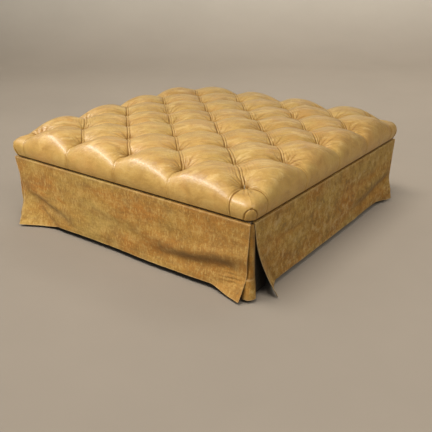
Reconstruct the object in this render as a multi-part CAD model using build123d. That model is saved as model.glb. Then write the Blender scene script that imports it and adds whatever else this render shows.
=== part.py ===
from build123d import *
import os
from math import atan, cos, hypot, sin, sqrt

# A square ottoman coffee table: a deep-buttoned leather cushion on a low timber frame,
# with a leather skirt that hangs in four panels and parts at every corner over an underlay.
# Millimetres, +Z up, origin on the floor under the middle. The front is the -Y side.

# Tufting
tufts_along = 5  # buttons along each side, with one fewer in the staggered rows between
tuft_pitch = 260.0
top_border = 90.0  # outermost buttons to the edge of the cushion
tuft_depth = 50.0  # crest of a pillow down to the buttons
border_rise = 15.0  # how far a pleat climbs on its way out to the edge
corner_lobe_rise = 28.0  # how far the corner beyond the last button climbs over the same way
corner_lobe_spread = 56.0  # its half width there

# Cushion
seam_height = 288.0  # floor to the underside of the cushion
cushion_height = 140.0
corner_radius = 42.0
top_edge_radius = 40.0
bottom_edge_ease = 8.0
cover_thickness = 2.0
quilt_least = 8.0  # leather and wadding together, where the buttons pull them thin
pleat_width = 44.0  # drawn-in side of the cushion below each border button
pleat_depth = 6.0
pillow_flat_share = 0.48  # part of a pillow's half width that the foam leaves flat
border_flat_share = 0.46

# Buttons, twine and toggles
button_diameter = 20.0
button_rise = 9.0  # top of the button above the bottom of the dimple
button_rim = 3.0
button_sides = 8
foam_core_width = 24.0
twine_width = 2.0
twine_clearance = 0.2
deck_hole_diameter = 8.0
deck_hole_sides = 6
toggle_length = 30.0
toggle_width = 8.0
toggle_thickness = 5.0

# Timber frame
frame_setback = 20.0  # edge of the cushion in to the outer face of the rails
deck_thickness = 18.0
rail_thickness = 28.0
rail_height = 142.0
cross_rail_height = 90.0
cross_rail_place_share = 0.75  # of the tuft pitch, which clears every button's twine
corner_block_leg = 130.0
corner_block_height = 60.0
leg_width = 70.0
leg_foot_width = 52.0
tenon_width = 28.0  # square tenon on each leg, through the corner block
mortise_wall = 3.0  # wood left between a mortise and the rails
glide_diameter = 36.0
glide_thickness = 4.0

# Skirt
skirt_setback = 5.0  # edge of the cushion in to the outer face of the skirt
skirt_thickness = 2.6
skirt_gap = 2.5  # underside of the cushion down to the top of the skirt
floor_gap = 10.0
lip_end_gap = 0.5
layer_gap = 0.3  # between the skirt and the underlay that lies on its back
batten_height = 19.0
batten_end_gap = 2.0  # end of a batten to where the underlay in front of it bends
cover_tail = 24.0  # the cover's edge, drawn down over the deck and tacked

# The lower corners of the skirt panels curl outward: a wide kick at the left end of the
# front and back panels, a tighter curl at the same end of the others, and some slack at the
# right end of all four. Each curl has the same five sizes.
kick_flare = 65.0  # how far the corner stands out at the hem
kick_run = 232.0  # corner of the skirt to where the curl begins on the hem
kick_tuck = 66.0  # how far the end draws in along the hem
kick_gap = 3.0  # corner of the skirt to the end of the panel, at the top
kick_start_share = 0.42  # share of the drop at which the free edge begins to curl
curl_flare = 58.0
curl_run = 160.0
curl_tuck = 58.0
curl_gap = 20.0
curl_start_share = 0.3
slack_flare = 32.0
slack_run = 172.0
slack_tuck = 12.0
slack_gap = 2.0
slack_start_share = 0.66

# Underlay behind each corner
underlay_reach = 110.0  # corner back to the ends of the underlay
underlay_corner_radius = 20.0
underlay_hem_gap = 2.0

# Dust cover
dust_cover_thickness = 1.0
dust_cover_setback = 4.0
dust_cover_leg_gap = 2.0

overrun = 5.0  # how far a cutting tool runs past what it cuts

# Derived sizes and levels
button_line = (tufts_along - 1) * tuft_pitch / 2
half_width = button_line + top_border
crest = seam_height + cushion_height
button_level = crest - tuft_depth
half_pitch = tuft_pitch / 2
pleat_to_centre = half_pitch / sqrt(2)
deck_top = seam_height + cover_thickness
rail_top = deck_top - deck_thickness
rail_bottom = rail_top - rail_height
frame_half = half_width - frame_setback
inner_half = frame_half - rail_thickness
cross_line = cross_rail_place_share * tuft_pitch
cross_bottom = rail_top - cross_rail_height
leg_centre = inner_half - mortise_wall - tenon_width / 2
block_top = rail_bottom + corner_block_height
tail_half = frame_half + cover_thickness
skirt_half = half_width - skirt_setback
skirt_top = seam_height - skirt_gap
skirt_drop = skirt_top - floor_gap
underlay_half = skirt_half - skirt_thickness - layer_gap
batten_half = underlay_half - skirt_thickness
batten_top = skirt_top - skirt_thickness
grid_line = [i * tuft_pitch - button_line for i in range(tufts_along)]
between_line = [place + half_pitch for place in grid_line[:-1]]
side_turns = {"front": 0, "right": 90, "back": 180, "left": 270}
corner_turns = {"front_right": 0, "back_right": 90, "back_left": 180, "front_left": 270}
centred_foot = (Align.CENTER, Align.CENTER, Align.MIN)


def arc_radius(half_chord, rise):
    """Radius of the arc that rises that much over a chord."""
    return (half_chord**2 + rise**2) / (2 * rise)


def arc_drop(radius, distance):
    """How far such an arc falls at a distance from its crest."""
    return radius - sqrt(radius**2 - distance**2)


def box_between(low, high):
    """A box from its lowest to its highest corner."""
    size = [b - a for a, b in zip(low, high)]
    return Pos(*low) * Box(*size, align=(Align.MIN, Align.MIN, Align.MIN))


def prism(outline, bottom, top):
    """A prism over a closed plan outline, between two levels."""
    face = make_face(Polyline(*outline, close=True))
    return extrude(Plane.XY.offset(bottom) * face, top - bottom)


def post(diameter, bottom, top):
    """A round post on the Z axis between two levels."""
    return Pos(0, 0, bottom) * Cylinder(diameter / 2, top - bottom, align=centred_foot)


def square_post(width, bottom, top):
    """A square post on the Z axis between two levels."""
    return box_between((-width / 2, -width / 2, bottom), (width / 2, width / 2, top))


def turned(shape, angle):
    """The shape turned about the vertical axis through the origin."""
    return Rot(0, 0, angle) * shape


def square_ring(half_outer, half_inner, bottom, top):
    """A square tube standing between two levels."""
    outer = box_between((-half_outer, -half_outer, bottom), (half_outer, half_outer, top))
    inner = box_between(
        (-half_inner, -half_inner, bottom - overrun), (half_inner, half_inner, top + overrun)
    )
    return outer - inner


def button_places():
    """Plan positions of the buttons: a square grid and a staggered one between."""
    on_grid = [(x, y) for x in grid_line for y in grid_line]
    return on_grid + [(x, y) for x in between_line for y in between_line]


def pillow_centres():
    """Plan centres of the full diamond pillows between the buttons."""
    inner = grid_line[1:-1]
    rows = [(x, y) for x in between_line for y in inner]
    return rows + [(x, y) for x in inner for y in between_line]


def at_buttons(shape):
    """Copies of a shape at every button."""
    return [Pos(x, y, 0) * shape for x, y in button_places()]


# Each pillow is a vault of four crossing barrels of one radius, and the pleats are where
# the vaults meet.
barrel_radius = arc_radius(half_pitch, tuft_depth)


def barrel(length):
    """A barrel along Y whose top is at the crest."""
    return Pos(0, 0, crest - barrel_radius) * (Rot(90, 0, 0) * Cylinder(barrel_radius, length))


def pillow():
    """One full diamond pillow about the origin."""
    corners = [(half_pitch, 0), (0, half_pitch), (-half_pitch, 0), (0, -half_pitch)]
    vault = prism(corners, seam_height, crest)
    for angle in range(0, 180, 45):
        vault = vault & turned(barrel(2 * tuft_pitch), angle)
    return vault


def border_pillow():
    """A border pillow of the front: half a vault, and a barrel from there over the edge."""
    inner_side = box_between(
        (-half_pitch, -button_line, seam_height), (half_pitch, half_pitch - button_line, crest)
    )
    outer_side = box_between(
        (-half_pitch, -half_width, seam_height), (half_pitch, -button_line, crest)
    )
    vault = Pos(0, -button_line, 0) * pillow()
    return (vault & inner_side) + (outer_side & barrel(2 * half_width))


def border_dish():
    """The ground between the border pillows, which climbs from the buttons to the edge."""
    edge_level = button_level + border_rise
    slab = box_between((-half_width, -half_width, seam_height), (half_width, half_width, edge_level))
    run = top_border * (1 + overrun / border_rise)
    slope = Polyline(
        (-button_line, button_level),
        (-button_line - run, edge_level + overrun),
        (-button_line, edge_level + overrun),
        close=True,
    )
    face = Plane((half_width, 0, 0), x_dir=(0, 1, 0), z_dir=(1, 0, 0)) * make_face(slope)
    ramp = extrude(face, -2 * half_width)
    inside = box_between(
        (-button_line, -button_line, button_level),
        (button_line, button_line, edge_level + overrun),
    )
    over = inside
    for turn in side_turns.values():
        over = over + (turned(ramp, turn) & corner_to_corner(turn))
    return slab - over


def corner_to_corner(turn):
    """Everything on one side of both diagonals: the quarter of the plan that a side has."""
    reach = half_width + overrun
    quarter = prism([(0, 0), (-reach, -reach), (reach, -reach)], seam_height, crest + overrun)
    return turned(quarter, turn)


def corner_pillow():
    """The corner beyond the last button: a lobe that fans out from the button and climbs."""
    half_angle = atan(corner_lobe_spread / top_border)
    lean = atan(corner_lobe_rise / top_border) - half_angle
    outward = (cos(lean) / sqrt(2), -cos(lean) / sqrt(2), sin(lean))
    length = 2 * top_border
    lobe = Cone(0, length * corner_lobe_spread / top_border, length, align=centred_foot)
    corner = box_between((button_line, -half_width, seam_height), (half_width, -button_line, crest))
    return corner & (Plane((button_line, -button_line, button_level), z_dir=outward) * lobe)


def rounded_block():
    """The cushion before tufting, with rounded corners and edges."""
    block = box_between((-half_width, -half_width, seam_height), (half_width, half_width, crest))
    block = fillet(block.edges().filter_by(Axis.Z), corner_radius)
    block = fillet(block.faces().sort_by(Axis.Z)[-1].edges(), top_edge_radius)
    return chamfer(block.faces().sort_by(Axis.Z)[0].edges(), bottom_edge_ease)


def side_pleats():
    """Shallow V cuts down the sides, where each border button draws the cover in."""
    flank = pleat_width / 2 * (1 + overrun / pleat_depth)
    outline = [
        (-flank, -half_width - overrun),
        (flank, -half_width - overrun),
        (0, pleat_depth - half_width),
    ]
    cut = prism(outline, seam_height - overrun, crest)
    return [turned(Pos(x, 0, 0) * cut, turn) for turn in side_turns.values() for x in grid_line]


def tufted_form():
    """The whole outside of the cushion as one solid."""
    full = pillow()
    pieces = [Pos(x, y, 0) * full for x, y in pillow_centres()]
    border = border_pillow()
    corner = corner_pillow()
    for turn in side_turns.values():
        pieces += [turned(Pos(x, 0, 0) * border, turn) for x in between_line]
        pieces.append(turned(corner, turn))
    return (border_dish().fuse(*pieces).clean() & rounded_block()) - side_pleats()


# The foam stays the quilt's thickness under the pillows and under the bottoms of the pleats.
pillow_flat = pillow_flat_share * pleat_to_centre
border_flat = border_flat_share * half_pitch
foam_half = half_width - quilt_least
foam_corner = corner_radius - quilt_least
foam_edge_ease = top_edge_radius - 2 * quilt_least
widest_flat = max(pillow_flat * sqrt(2), border_flat)
foam_top = crest - arc_drop(barrel_radius, widest_flat) - quilt_least
channel_bottom = button_level - quilt_least


def channel(length, half_opening):
    """A V cut along Y through the origin, open at the top of the foam."""
    spread = half_opening * (1 + overrun / (foam_top - channel_bottom))
    mouth = foam_top + overrun
    vee = Polyline((0, channel_bottom), (spread, mouth), (-spread, mouth), close=True)
    face = Plane((0, length / 2, 0), x_dir=(1, 0, 0), z_dir=(0, -1, 0)) * make_face(vee)
    return extrude(face, length)


def foam_block():
    """The foam with its V cuts and before its cores."""
    pad = box_between((-foam_half, -foam_half, deck_top), (foam_half, foam_half, foam_top))
    pad = fillet(pad.edges().filter_by(Axis.Z), foam_corner)
    pad = chamfer(pad.faces().sort_by(Axis.Z)[-1].edges(), foam_edge_ease)
    cuts = []
    half_diagonal = button_line * sqrt(2)
    for step in range(1, 2 * tufts_along - 2):
        offset = step * tuft_pitch / sqrt(2) - half_diagonal
        length = 2 * (half_diagonal - abs(offset))
        cut = Pos(offset, 0, 0) * channel(length, pleat_to_centre - pillow_flat)
        cuts += [turned(cut, 45), turned(cut, 135)]
    middle = button_line + top_border / 2
    border_cut = Pos(0, -middle, 0) * channel(top_border, half_pitch - border_flat)
    for turn in side_turns.values():
        cuts += [turned(Pos(x, 0, 0) * border_cut, turn) for x in grid_line]
    return pad - cuts


def foam_pad(block):
    """The foam cored under every button, square to the diamond cuts."""
    core = turned(square_post(foam_core_width, deck_top - overrun, crest), 45)
    return block - at_buttons(core)


def top_cover(form, block):
    """Leather and wadding over the foam, turned in under it and tacked to the frame."""
    slit_width = twine_width + 2 * twine_clearance
    slit = square_post(slit_width, channel_bottom - overrun, button_level + overrun)
    inside = box_between(
        (-frame_half, -frame_half, seam_height - overrun), (frame_half, frame_half, deck_top)
    )
    tail = square_ring(tail_half, frame_half, seam_height - cover_tail, deck_top)
    return (form - [block, inside, *at_buttons(slit)]) + tail


def buttons(form):
    """Covered buttons, drawn down until their undersides take the shape of the dimples."""
    rim_level = button_level + button_rise - button_rim
    outline = RegularPolygon(button_diameter / 2, button_sides)
    top = RegularPolygon(button_diameter / 2 - button_rim, button_sides)
    body = extrude(Plane.XY.offset(button_level) * outline, rim_level - button_level)
    cap = loft([Plane.XY.offset(rim_level) * outline, Plane.XY.offset(rim_level + button_rim) * top])
    around = square_post(2 * button_diameter, seam_height, crest)
    shaped = []
    for x, y in button_places():
        place = Pos(x, y, 0)
        shaped.append(place * (body + cap) - (form & (place * around)))
    return shaped


def button_twines():
    """One strand from each button down to its toggle."""
    return at_buttons(square_post(twine_width, rail_top, button_level))


def twine_toggles():
    """Small bars that hold the twines under the deck."""
    low = (-toggle_length / 2, -toggle_width / 2, rail_top - toggle_thickness)
    return at_buttons(box_between(low, (toggle_length / 2, toggle_width / 2, rail_top)))


def deck_board():
    """The plywood deck, drilled for every twine."""
    board = box_between((-frame_half, -frame_half, rail_top), (frame_half, frame_half, deck_top))
    outline = RegularPolygon(deck_hole_diameter / 2, deck_hole_sides)
    hole = extrude(Plane.XY.offset(rail_top - overrun) * outline, deck_thickness + 2 * overrun)
    return board - at_buttons(hole)


def long_rail():
    """The front rail, which runs from corner to corner."""
    return box_between((-frame_half, -frame_half, rail_bottom), (frame_half, -inner_half, rail_top))


def short_rail():
    """The same between two long rails."""
    return box_between((-inner_half, -frame_half, rail_bottom), (inner_half, -inner_half, rail_top))


def cross_rail(notch_from, notch_to):
    """A rail across the inside, with a half lap over each rail that crosses it."""
    half = rail_thickness / 2
    bar = box_between((-inner_half, -half, cross_bottom), (inner_half, half, rail_top))
    lap = box_between((-half, -rail_thickness, notch_from), (half, rail_thickness, notch_to))
    return bar - [Pos(x, 0, 0) * lap for x in (-cross_line, cross_line)]


def corner_block():
    """A three-cornered block between two rails, mortised for the leg."""
    short = inner_half - corner_block_leg
    outline = [(inner_half, -inner_half), (inner_half, -short), (short, -inner_half)]
    block = prism(outline, rail_bottom, block_top)
    mortise = square_post(tenon_width, rail_bottom - overrun, block_top + overrun)
    return block - Pos(leg_centre, -leg_centre, 0) * mortise


def leg():
    """A tapered block leg with a tenon through the corner block."""
    half_top = leg_width / 2
    half_foot = leg_foot_width / 2
    taper = Polyline(
        (-half_foot, glide_thickness),
        (half_foot, glide_thickness),
        (half_top, rail_bottom),
        (-half_top, rail_bottom),
        close=True,
    )
    slab = extrude(Plane.XZ * make_face(taper), half_top, both=True)
    tenon = square_post(tenon_width, rail_bottom - overrun, block_top)
    return Pos(leg_centre, -leg_centre, 0) * ((slab & turned(slab, 90)) + tenon)


def at_legs(shape):
    """Copies of a shape at the four legs."""
    return [turned(Pos(leg_centre, -leg_centre, 0) * shape, turn) for turn in corner_turns.values()]


def front_prism(outline, behind, before):
    """A prism over an outline in X and Z, from behind the skirt's outer face to before it."""
    back = Plane((0, behind - skirt_half, 0), x_dir=(1, 0, 0), z_dir=(0, -1, 0))
    return extrude(back * make_face(Polyline(*outline, close=True)), behind + before)


def curled_corner(side, end, run, tuck, flare, start_share):
    """The lower corner of a panel at one end: the flap that curls, and the flap curled.

    It bends round a slanting cylinder that touches the flat panel along a fold line, from
    the free edge down to the hem.
    """
    level = skirt_top - start_share * skirt_drop
    on_edge = (side * (end - start_share * tuck), level)
    on_hem = (side * (skirt_half - run), floor_gap)
    corner = (side * (end - tuck), floor_gap)
    flap = [on_edge, on_hem, corner]
    along_x = on_hem[0] - on_edge[0]
    along_z = on_hem[1] - on_edge[1]
    fold = hypot(along_x, along_z)
    reach = abs(along_x * (corner[1] - on_edge[1]) - along_z * (corner[0] - on_edge[0])) / fold
    radius = arc_radius(reach, flare)
    axis = Plane(
        (on_edge[0], -skirt_half - radius, on_edge[1]), z_dir=(along_x, 0, along_z)
    )
    shell = Cylinder(radius + skirt_thickness, 3 * fold) - Cylinder(radius, 3 * fold)
    flat = front_prism(flap, skirt_thickness + overrun, overrun)
    curled = (axis * shell) & front_prism(flap, skirt_thickness + overrun, flare + overrun)
    return flat, curled


def skirt_panel(gap, run, tuck, flare, start_share):
    """The front skirt panel: flat, with the lower corners of its free ends curled outward,
    and a lip along the top that is tacked down on the batten. The sizes are its left end's."""
    left = skirt_half - gap
    right = skirt_half - slack_gap
    outline = [
        (-left, skirt_top),
        (right, skirt_top),
        (right - slack_tuck, floor_gap),
        (tuck - left, floor_gap),
    ]
    curl_flat, curl = curled_corner(-1, left, run, tuck, flare, start_share)
    slack_flat, slack = curled_corner(
        1, right, slack_run, slack_tuck, slack_flare, slack_start_share
    )
    lip_half = tail_half - lip_end_gap
    lip_edge = skirt_thickness / 2 - skirt_half
    lip = box_between((-min(lip_half, left), lip_edge, batten_top), (lip_half, -tail_half, skirt_top))
    return (front_prism(outline, skirt_thickness, 0) - [curl_flat, slack_flat]) + [curl, slack, lip]


def batten():
    """The front batten that the skirt and the underlays are tacked to."""
    half = underlay_half - underlay_corner_radius - batten_end_gap
    bottom = batten_top - batten_height
    return box_between((-half, -batten_half, bottom), (half, -tail_half, batten_top))


def underlay():
    """The piece behind the front right corner, tacked to both battens."""
    end = underlay_half - underlay_reach
    straight = underlay_half - underlay_corner_radius
    rows = []
    for edge in (underlay_half, batten_half):
        middle = straight + (edge - straight) / sqrt(2)
        rows.append(
            [(end, -edge), (straight, -edge), (middle, -middle), (edge, -straight), (edge, -end)]
        )
    outer, inner = rows
    outline = [
        Line(outer[0], outer[1]),
        ThreePointArc(*outer[1:4]),
        Line(outer[3], outer[4]),
        Line(outer[4], inner[4]),
        Line(inner[4], inner[3]),
        ThreePointArc(*inner[1:4]),
        Line(inner[1], inner[0]),
        Line(inner[0], outer[0]),
    ]
    bottom = floor_gap + underlay_hem_gap
    return extrude(Plane.XY.offset(bottom) * make_face(outline), batten_top - bottom)


def dust_cover():
    """Thin cloth under the rails, cut away round the legs."""
    half = frame_half - dust_cover_setback
    bottom = rail_bottom - dust_cover_thickness
    sheet = box_between((-half, -half, bottom), (half, half, rail_bottom))
    start = leg_centre - leg_width / 2 - dust_cover_leg_gap
    notch = box_between(
        (start, -frame_half, bottom - overrun), (frame_half, -start, rail_bottom + overrun)
    )
    return sheet - [turned(notch, turn) for turn in corner_turns.values()]


def build_parts():
    """Every node of the object by name, in place."""
    form = tufted_form()
    block = foam_block()
    middle = rail_top - cross_rail_height / 2
    open_below = cross_rail(cross_bottom - overrun, middle)
    open_above = cross_rail(middle, rail_top + overrun)
    nodes = {
        "top_cover": top_cover(form, block),
        "foam_pad": foam_pad(block),
        "buttons": buttons(form),
        "button_twines": button_twines(),
        "twine_toggles": twine_toggles(),
        "deck_board": deck_board(),
        "rail_front": long_rail(),
        "rail_back": turned(long_rail(), side_turns["back"]),
        "rail_right": turned(short_rail(), side_turns["right"]),
        "rail_left": turned(short_rail(), side_turns["left"]),
        "cross_rail_front": Pos(0, -cross_line, 0) * open_below,
        "cross_rail_back": Pos(0, cross_line, 0) * open_below,
        "cross_rail_right": Pos(cross_line, 0, 0) * turned(open_above, side_turns["right"]),
        "cross_rail_left": Pos(-cross_line, 0, 0) * turned(open_above, side_turns["left"]),
        "glides": at_legs(post(glide_diameter, 0, glide_thickness)),
        "dust_cover": dust_cover(),
    }
    kicked = skirt_panel(kick_gap, kick_run, kick_tuck, kick_flare, kick_start_share)
    curled = skirt_panel(curl_gap, curl_run, curl_tuck, curl_flare, curl_start_share)
    for side, turn in side_turns.items():
        panel = kicked if side in ("front", "back") else curled
        nodes[f"skirt_{side}"] = turned(panel, turn)
        nodes[f"batten_{side}"] = turned(batten(), turn)
    for corner, turn in corner_turns.items():
        nodes[f"corner_block_{corner}"] = turned(corner_block(), turn)
        nodes[f"leg_{corner}"] = turned(leg(), turn)
        nodes[f"underlay_{corner}"] = turned(underlay(), turn)
    return nodes


def main():
    """Write one STEP file per node."""
    os.makedirs("parts", exist_ok=True)
    for name, shape in build_parts().items():
        solid = Compound(children=shape) if isinstance(shape, list) else shape
        export_step(solid, f"parts/{name}.step")


if __name__ == "__main__":
    main()
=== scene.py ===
import math

import bpy
import numpy as np
from mathutils import Matrix, Vector


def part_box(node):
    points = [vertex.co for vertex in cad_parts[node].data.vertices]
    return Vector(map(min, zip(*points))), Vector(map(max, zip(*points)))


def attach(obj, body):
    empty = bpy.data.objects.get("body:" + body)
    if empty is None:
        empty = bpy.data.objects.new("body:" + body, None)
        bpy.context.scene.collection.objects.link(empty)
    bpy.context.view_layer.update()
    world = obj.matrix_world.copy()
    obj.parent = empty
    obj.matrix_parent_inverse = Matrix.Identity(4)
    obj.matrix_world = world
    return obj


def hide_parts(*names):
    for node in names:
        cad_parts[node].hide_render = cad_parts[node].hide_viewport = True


# The looks of a square leather ottoman: a deep-buttoned cushion, a nubuck skirt in four
# panels and an underlay behind every corner. Angles are in degrees. The front is the -Y
# side, as in the CAD frame.

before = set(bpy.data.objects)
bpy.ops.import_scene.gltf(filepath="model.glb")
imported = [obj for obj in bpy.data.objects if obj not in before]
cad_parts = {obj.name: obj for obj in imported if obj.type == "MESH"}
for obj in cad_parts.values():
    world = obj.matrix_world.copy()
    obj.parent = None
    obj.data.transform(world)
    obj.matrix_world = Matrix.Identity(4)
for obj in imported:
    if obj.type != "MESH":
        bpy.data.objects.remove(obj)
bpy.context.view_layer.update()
MM = 0.001
SEED = 41


def extent(node):
    """Lowest and highest corner of a CAD node, in millimetres."""
    low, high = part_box(node)
    return np.array(low) / MM, np.array(high) / MM


# Sizes that the frame gives
cover_high = extent("top_cover")[1]
skirt_low, skirt_high = extent("skirt_front")
deck_high = extent("deck_board")[1]
underlay_low, underlay_high = extent("underlay_front_right")
dust_low, dust_high = extent("dust_cover")
rail_inner = -extent("rail_front")[1][1]
leg_inner = extent("leg_front_right")[0][0]

twine_half = 1.0
seam_gap = 2.5
half_width = cover_high[0]
crest = cover_high[2]
deck_top = deck_high[2]
frame_half = deck_high[0]
skirt_top = skirt_high[2]
hem_level = skirt_low[2]
button_line = extent("button_twines")[1][0] - twine_half
tufts_along = 5
pitch = 2 * button_line / (tufts_along - 1)
diamond = pitch / math.sqrt(2)
seam_height = skirt_top + seam_gap

# Cushion: the section that rolls over its edge and in under it
mesh_step = pitch / 96
crown_height = 18.2
crown_top = crest + 2.0
roll_start = half_width - 86.0
roll_reach = 89.0
shoulder_power = 2.3
bulge_level = seam_height + 46.0
seam_setback = 5.0
lower_ease = 11.0
corner_radius_share = 0.36
shut_gap = 0.3  # between the deck and the cover's underside
cover_overhang = 3.0  # of the cover's underside past the deck

# Cushion: how deep pleats, corners and buttons lie below the pillows' crests. A run is where
# a change starts and ends, from the outer row of buttons outwards.
tuft_depth = 41.0
pleat_depth = 13.0
node_reach = 44.0
node_power = 1.3
pillow_power = 2.0
lobe_power = 2.5
lobe_run = (0.0, 60.0)
edge_depth = 30.0  # of the border pleats and the corners, where they roll over the edge
edge_run = (0.0, 70.0)
corner_dip = 5.0
corner_run = (8.0, 60.0)
button_seat = 11.0
button_pit = 13.0  # how far the buttons sink below the pillows' lowest level
border_sink = 11.0  # how much deeper the outer row of buttons is pulled
border_reach = 90.0

# Cushion: a pleat is a fold between two creases, each with its place across it and its width
near_crease = (-4.4, 2.4)
far_crease = (4.6, 2.1)
far_crease_share = 0.7
fold_width = 3.4
fold_share = 0.45
groove_depth = 3.0
groove_pull = 3.6  # how much deeper it gets towards a button
pull_reach = 36.0
fade_share = 0.42  # what is left of a pleat far down the border
fade_reach = 80.0
corner_pleat_share = 1.5
corner_pleat_run = (2.0, 12.0)

# Cushion: gathers that fan out of each button, and finer ones beside the pleats, each with its
# distance from the pleat, its width and its share of the height
gather_height = 3.8
gather_power = 7
gather_reach = 40.0
gather_run = (9.0, 20.0)
fewest_gathers = 10
golden_angle = 2.399
beside_height = 1.9
beside_reach = 150.0
beside_run = (40.0, 75.0)
beside_lines = ((15.0, 2.6, 1.0), (24.0, 2.8, 0.8), (34.0, 3.2, 0.6), (46.0, 3.6, 0.4))
taut_run = (0.0, 40.0)
taut_share = 0.85  # how much of the slack the border has lost

# Cushion: the darts cut at its corners
dart_half = 21.0
dart_top = 52.0
dart_shoulder = 26.0
dart_groove = 3.4
dart_width = 2.6
dart_bulge = 1.5
dart_run = (1100.0, 1130.0)

# Cushion: uneven waves, each with its height, the size of its features and its seed
pillow_puff = (3.4, 190.0, SEED + 9)
pleat_wobbles = ((1.8, 30.0, SEED + 1), (3.0, 85.0, SEED + 11))
gather_wander = (0.8, 26.0, SEED + 2)
gather_spread = (20.0, 70.0, SEED + 3)
beside_wander = (6.0, 60.0, SEED + 4)
beside_patches = (1.0, 80.0, SEED + 5)
slack_waves = ((1.4, 120.0, SEED + 6), (0.7, 48.0, SEED + 7))
fine_pull = (0.9, 14.0, SEED + 8)
broad_pull = (1.3, 30.0, SEED + 12)

# Buttons
button_radius = 10.5
button_dome = 8.2
button_fall = 6.2  # from the middle of the dome to where it meets the rim
button_rim = 2.6
rim_share = 0.9  # of the way out at which the rim starts and turns in
button_rest = 1.0
button_lean = 0.05

# Skirt
skirt_half = half_width - 5.0
leather_thickness = 2.6
lip_depth = 9.5
lip_fold = 3.0
lip_gap = 1.5
# The curled lower corners: how far each stands out, where its fold meets the hem, how far the
# hem draws in, the share of the drop at which the fold meets the free edge, the end's distance
# from the corner, and how soft the fold is
wide_kick = {"flare": 68.0, "run": 232.0, "tuck": 66.0, "start_share": 0.44, "gap": 3.0, "bend": 60.0}
narrow_kick = {"flare": 62.0, "run": 160.0, "tuck": 58.0, "start_share": 0.30, "gap": 20.0, "bend": 58.0}
near_slack = {"flare": 38.0, "run": 166.0, "tuck": 18.0, "start_share": 0.74, "gap": 4.0, "bend": 16.0}
far_slack = {"flare": 27.0, "run": 172.0, "tuck": 42.0, "start_share": 0.45, "gap": 2.0, "bend": 60.0}
bend_lead = 6.0  # how far before its fold line the leather starts to bend
hem_depth = 24.0
hem_lift = 10.0  # how much higher the hem hangs between the curled ends
# Waves of a panel: height, size of the features, seed, and how much of x, of z aslant and of z
# they are drawn over
panel_waves = (
    (3.5, 170.0, 0, 0.8, 0.0, 2.0),
    (2.0, 75.0, 1, 1.0, 0.0, 2.2),
    (4.0, 90.0, 4, 0.3, 0.4, 1.6),
    (0.6, 27.0, 2, 1.0, 0.0, 1.0),
)

# Underlays
underlay_reach = 110.0
underlay_radius = 20.0
band_height = 70.0
band_step = 3.0
band_belly = 14.0
strip_half = 20.0  # how far the leather shows on from the corner before the painted shade of the gap behind the panel starts
strip_spread = 24.0

# Dust cloth
leg_gap = 2.0
cloth_thickness = 0.6
cloth_sag = 9.0

# Camera, found from the photograph
camera_place = (1.55906, -2.08069, 1.08353)
camera_azimuth = 36.552
camera_elevation = 23.549
camera_roll = -0.0764
camera_lens = 50.582

# Numbers


def smoothstep(x, start, end):
    """0 before start, 1 after end, and a smooth rise between."""
    t = np.clip((x - start) / (end - start), 0, 1)
    return t * t * (3 - 2 * t)


def hump(x, middle, width):
    """A bell that is 1 at the middle and about a third at a width from it."""
    return np.exp(-(((x - middle) / width) ** 2))


def noise2(x, y, scale, seed):
    """Smooth value noise from -1 to 1 over a plane, with features of about that scale."""
    cells = 64
    table = np.random.default_rng(seed).uniform(-1, 1, (cells, cells))
    u, v = x / scale + 17.3, y / scale + 9.1
    i, j = np.floor(u).astype(int), np.floor(v).astype(int)
    su, sv = smoothstep(u - i, 0, 1), smoothstep(v - j, 0, 1)
    i, j, i1, j1 = i % cells, j % cells, (i + 1) % cells, (j + 1) % cells
    low = table[i, j] * (1 - su) + table[i1, j] * su
    high = table[i, j1] * (1 - su) + table[i1, j1] * su
    return low * (1 - sv) + high * sv


def waves(x, y, *kinds):
    """Some waves of noise laid over each other."""
    return sum(height * noise2(x, y, size, seed) for height, size, seed in kinds)


def grid_normals(points):
    """Unit normals of a grid of points, by central differences."""
    normal = np.cross(np.gradient(points, axis=0), np.gradient(points, axis=1))
    length = np.linalg.norm(normal, axis=2, keepdims=True)
    return normal / np.maximum(length, 1e-9)


# Meshes


def make_object(name, verts, faces, material, attributes=None):
    """A mesh object from points in millimetres and its faces, or a list of groups of faces with
    the same number of corners."""
    verts = np.asarray(verts, float) * MM
    mesh = bpy.data.meshes.new(name)
    groups = faces if isinstance(faces, list) else [faces]
    counts = np.concatenate([np.full(len(g), g.shape[1]) for g in groups])
    corners = np.concatenate([g.ravel() for g in groups])
    mesh.vertices.add(len(verts))
    mesh.vertices.foreach_set("co", verts.astype(np.float32).ravel())
    mesh.loops.add(len(corners))
    mesh.loops.foreach_set("vertex_index", corners.astype(np.int32))
    mesh.polygons.add(len(counts))
    starts = np.concatenate([[0], np.cumsum(counts)[:-1]])
    mesh.polygons.foreach_set("loop_start", starts.astype(np.int32))
    mesh.update(calc_edges=True)
    mesh.validate()
    mesh.polygons.foreach_set("use_smooth", np.ones(len(mesh.polygons), bool))
    for key, values in (attributes or {}).items():
        layer = mesh.attributes.new(key, "FLOAT", "POINT")
        layer.data.foreach_set("value", np.asarray(values, np.float32).ravel())
    mesh.materials.append(material)
    made = bpy.data.objects.new(name, mesh)
    bpy.context.scene.collection.objects.link(made)
    return made


def grid_quads(rows, columns):
    """Faces of a grid of points stored row by row."""
    i, j = np.meshgrid(np.arange(rows - 1), np.arange(columns - 1), indexing="ij")
    a = (i * columns + j).ravel()
    return np.stack([a, a + columns, a + columns + 1, a + 1], 1)


def rim_of(rows, columns):
    """Indices round the border of such a grid."""
    index = np.arange(rows * columns).reshape(rows, columns)
    return np.concatenate([index[0], index[1:, -1], index[-1, -2::-1], index[-2:0:-1, 0]])


def turned(points, angle):
    """Points turned about the vertical axis."""
    a = math.radians(angle)
    c, s = math.cos(a), math.sin(a)
    turn = np.array([[c, -s, 0], [s, c, 0], [0, 0, 1]])
    return points @ turn.T


# Materials


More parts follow.
